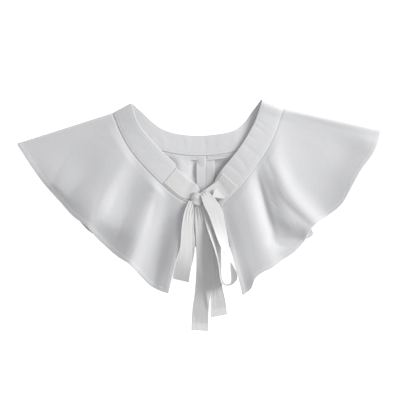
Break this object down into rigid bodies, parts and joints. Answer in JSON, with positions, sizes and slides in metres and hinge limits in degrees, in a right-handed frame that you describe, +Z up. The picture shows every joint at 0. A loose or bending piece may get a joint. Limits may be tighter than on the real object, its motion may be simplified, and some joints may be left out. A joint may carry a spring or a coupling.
{
  "type": "detachable cape collar",
  "caption": "Detachable cape-style collar of plain white cotton, with a stitched neck band and ribbon ties tied in a bow, laid flat with its fronts on its backs.",
  "frame": {"origin": "the point on the surface under the middle of the collar's bounding box", "axes": "+X to the viewer's right across the collar, +Y towards the back of the neck, +Z up from the surface that it lies on"},
  "size_m": [0.4703, 0.3004, 0.0241],
  "materials": {
    "cape_cotton": "smooth close plain weave, cool white, matt with a faint soft sheen",
    "band_cotton": "the cape's cloth, doubled and topstitched, cool white, matt",
    "ribbon_cotton": "woven ribbon with fine lengthwise crinkles, slightly warmer white, soft sheen"
  },
  "bodies": {
    "root": {"cape_left": "cape_cotton", "cape_right": "cape_cotton", "seam_allowance_left": "cape_cotton", "seam_allowance_right": "cape_cotton", "neck_band": "band_cotton", "tie_lead_left": "ribbon_cotton", "tie_lead_right": "ribbon_cotton", "bow_knot": "ribbon_cotton", "bow_loop_left": "ribbon_cotton", "bow_loop_right": "ribbon_cotton", "bow_tail_left": "ribbon_cotton", "bow_tail_right": "ribbon_cotton"}
  },
  "joints": []
}
